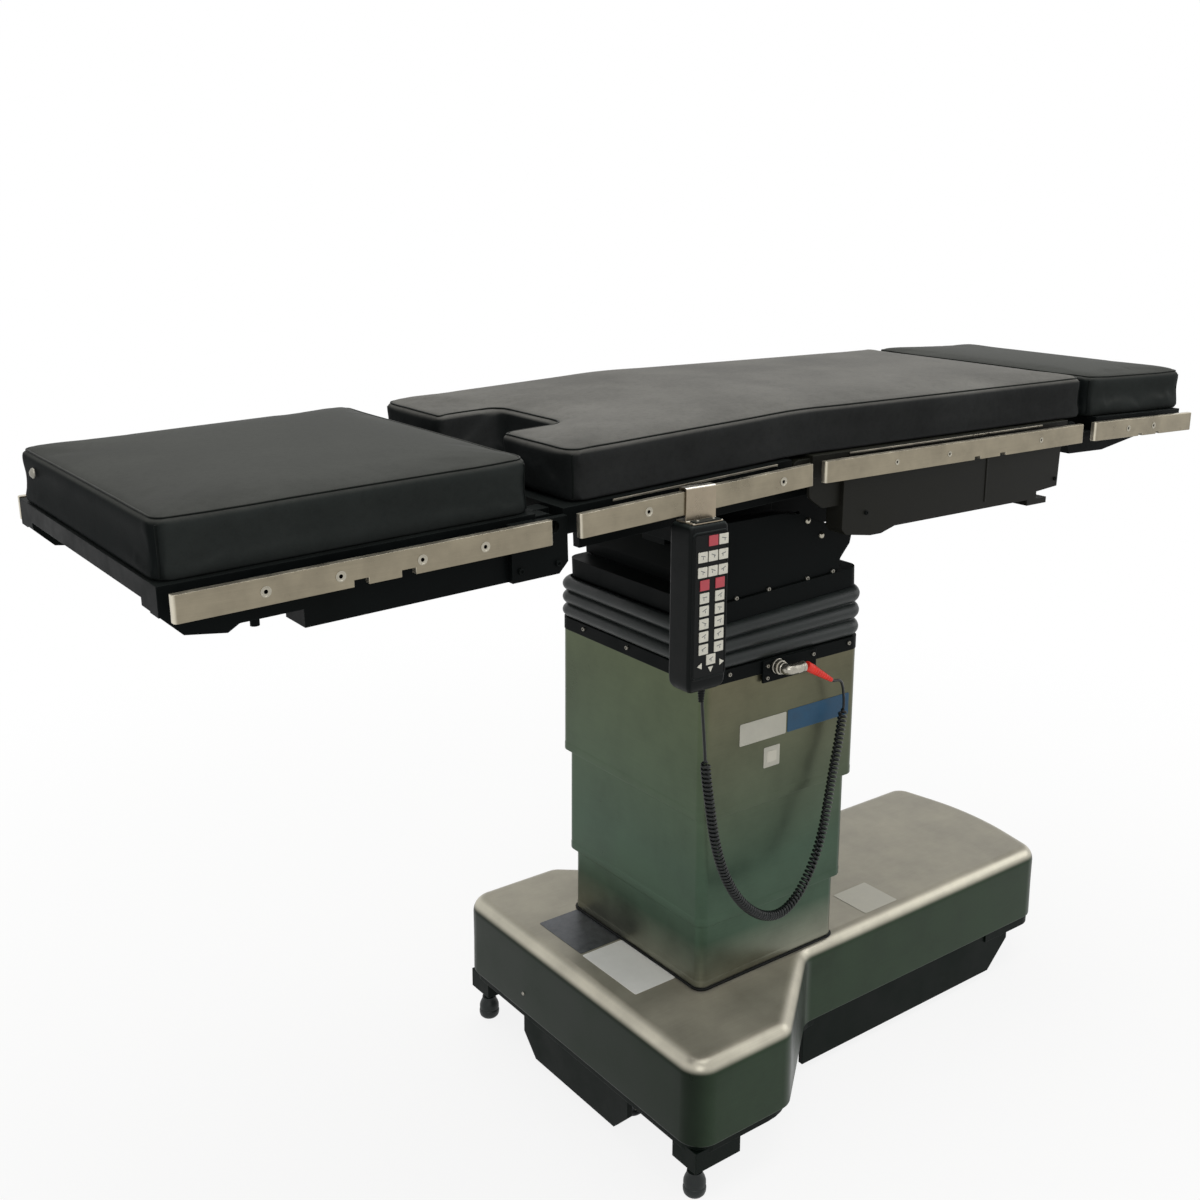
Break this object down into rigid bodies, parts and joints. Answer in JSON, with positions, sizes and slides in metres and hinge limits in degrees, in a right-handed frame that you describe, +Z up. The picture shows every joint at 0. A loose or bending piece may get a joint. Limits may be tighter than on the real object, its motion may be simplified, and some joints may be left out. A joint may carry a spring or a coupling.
{
  "type": "surgical table",
  "caption": "Mobile surgical table: hinged black pads with side rails on a tilting, telescoping steel column, wheeled base with floor locks, and a corded hand control",
  "frame": {"origin": "on the floor, at the middle of the table's length and width", "axes": "+X to the head end along the length, +Z up, -Y to the side of the hand control"},
  "size_m": [1.9338, 0.65, 1.1848],
  "materials": {
    "boot": "red moulded strain relief",
    "bright": "ground and polished stainless bar",
    "casting": "black powder coat on castings and welded plate",
    "film": "printed keypad film",
    "plastic": "moulded black plastic",
    "pump": "painted tank and motor",
    "rubber": "moulded black rubber",
    "steel": "brushed stainless sheet",
    "tyre": "grey tread",
    "vinyl": "satin antistatic vinyl cover"
  },
  "bodies": {
    "base": {"base_cover": "steel", "chassis": "casting", "hydraulic_unit": "pump", "lower_shroud": "steel", "lower_mast": "casting"},
    "middle": {"middle_shroud": "steel"},
    "lift": {"top_shroud": "steel", "mast_ram": "bright", "column_head": "casting", "tilt_post": "casting", "bellows": "rubber", "connector_plate": "casting", "connector_socket": "bright", "cord_plug": "bright", "plug_boot": "boot", "cord_coil_lower": "rubber"},
    "yoke": {"bellows_top_ring": "casting", "tilt_yoke": "casting", "trend_pin": "bright", "roll_shaft": "bright"},
    "seat": {"roll_cradle": "casting", "seat_frame": "casting", "seat_rail_near": "bright", "seat_rail_far": "bright", "seat_pad": "vinyl", "torso_pad_flex": "vinyl", "leg_hinge_pin": "bright", "back_hinge_pin": "bright", "cord_coil_upper": "rubber"},
    "leg": {"leg_frame": "casting", "leg_rail_near": "bright", "leg_rail_far": "bright", "leg_pad": "vinyl"},
    "release_pin": {"leg_release_pin": "casting"},
    "back": {"back_frame": "casting", "back_rail_near": "bright", "back_rail_far": "bright", "back_pad": "vinyl", "head_hinge_pin": "bright"},
    "head": {"head_frame": "casting", "head_rail_near": "bright", "head_rail_far": "bright", "head_pad": "vinyl"},
    "hand_control": {"control_case": "plastic", "control_keypad": "film", "control_hook": "bright", "cord_tail": "rubber"},
    "lock_1": {"floor_lock_foot_1": "rubber"},
    "caster_1": {"caster_fork_1": "bright"},
    "wheel_1": {"caster_wheel_1": "tyre"},
    "lock_2": {"floor_lock_foot_2": "rubber"},
    "caster_2": {"caster_fork_2": "bright"},
    "wheel_2": {"caster_wheel_2": "tyre"},
    "lock_3": {"floor_lock_foot_3": "rubber"},
    "caster_3": {"caster_fork_3": "bright"},
    "wheel_3": {"caster_wheel_3": "tyre"},
    "lock_4": {"floor_lock_foot_4": "rubber"},
    "caster_4": {"caster_fork_4": "bright"},
    "wheel_4": {"caster_wheel_4": "tyre"}
  },
  "joints": [
    {"name": "column_lift", "type": "slide", "parent": "base", "child": "lift", "axis": [0, 0, 1], "range_m": [-0.285, 0.025]},
    {"name": "middle_stage", "type": "slide", "parent": "base", "child": "middle", "axis": [0, 0, 1], "range_m": [-0.10545, 0.00925]},
    {"name": "trend_tilt", "type": "hinge", "parent": "lift", "child": "yoke", "pos_m": [0.02555, 0, 0.945], "axis": [0, 1, 0], "range_deg": [-22.3, 27.7], "deforming": ["bellows", "cord_coil_lower"]},
    {"name": "side_tilt", "type": "hinge", "parent": "yoke", "child": "seat", "pos_m": [-0.01713, 0, 1.00105], "axis": [0.9989, 0, 0.0471], "range_deg": [-18, 18], "deforming": ["cord_coil_upper"]},
    {"name": "leg_tilt", "type": "hinge", "parent": "seat", "child": "leg", "pos_m": [-0.46764, 0, 1.0649], "axis": [0, -1, 0], "range_deg": [-0.9, 104.1]},
    {"name": "leg_release", "type": "slide", "parent": "leg", "child": "release_pin", "axis": [-0.0314, 0, 0.9995], "range_m": [0, 0.006], "stiffness_N_per_m": 1500},
    {"name": "back_tilt", "type": "hinge", "parent": "seat", "child": "back", "pos_m": [-0.02713, 0, 1.08567], "axis": [0, -1, 0], "range_deg": [-17, 83], "deforming": ["torso_pad_flex"]},
    {"name": "head_tilt", "type": "hinge", "parent": "back", "child": "head", "pos_m": [0.62486, 0, 1.08226], "axis": [0, -1, 0], "range_deg": [-88.7, 31.3], "deforming": ["head_pad"]},
    {"name": "control_unhook", "type": "slide", "parent": "seat", "child": "hand_control", "axis": [0, 0, 1], "range_m": [0, 0.007], "deforming": ["cord_tail"]},
    {"name": "floor_lock_1", "type": "slide", "parent": "base", "child": "lock_1", "axis": [0, 0, 1], "range_m": [0, 0.012]},
    {"name": "floor_lock_2", "type": "slide", "parent": "base", "child": "lock_2", "axis": [0, 0, 1], "range_m": [0, 0.012]},
    {"name": "floor_lock_3", "type": "slide", "parent": "base", "child": "lock_3", "axis": [0, 0, 1], "range_m": [0, 0.012]},
    {"name": "floor_lock_4", "type": "slide", "parent": "base", "child": "lock_4", "axis": [0, 0, 1], "range_m": [0, 0.012]},
    {"name": "caster_swivel_1", "type": "hinge", "parent": "base", "child": "caster_1", "pos_m": [-0.17045, -0.092, 0.08], "axis": [0, 0, 1], "continuous": true},
    {"name": "caster_roll_1", "type": "hinge", "parent": "caster_1", "child": "wheel_1", "pos_m": [-0.18845, -0.092, 0.033], "axis": [0, 1, 0], "continuous": true},
    {"name": "caster_swivel_2", "type": "hinge", "parent": "base", "child": "caster_2", "pos_m": [-0.17045, 0.092, 0.08], "axis": [0, 0, 1], "continuous": true},
    {"name": "caster_roll_2", "type": "hinge", "parent": "caster_2", "child": "wheel_2", "pos_m": [-0.18845, 0.092, 0.033], "axis": [0, 1, 0], "continuous": true},
    {"name": "caster_swivel_3", "type": "hinge", "parent": "base", "child": "caster_3", "pos_m": [0.43555, -0.104, 0.08], "axis": [0, 0, 1], "continuous": true},
    {"name": "caster_roll_3", "type": "hinge", "parent": "caster_3", "child": "wheel_3", "pos_m": [0.41755, -0.104, 0.033], "axis": [0, 1, 0], "continuous": true},
    {"name": "caster_swivel_4", "type": "hinge", "parent": "base", "child": "caster_4", "pos_m": [0.43555, 0.104, 0.08], "axis": [0, 0, 1], "continuous": true},
    {"name": "caster_roll_4", "type": "hinge", "parent": "caster_4", "child": "wheel_4", "pos_m": [0.41755, 0.104, 0.033], "axis": [0, 1, 0], "continuous": true}
  ],
  "couplings": [
    {"joint": "middle_stage", "follows": "column_lift", "ratio": 0.37},
    {"joint": "floor_lock_2", "follows": "floor_lock_1", "ratio": 1},
    {"joint": "floor_lock_3", "follows": "floor_lock_1", "ratio": 1},
    {"joint": "floor_lock_4", "follows": "floor_lock_1", "ratio": 1}
  ]
}
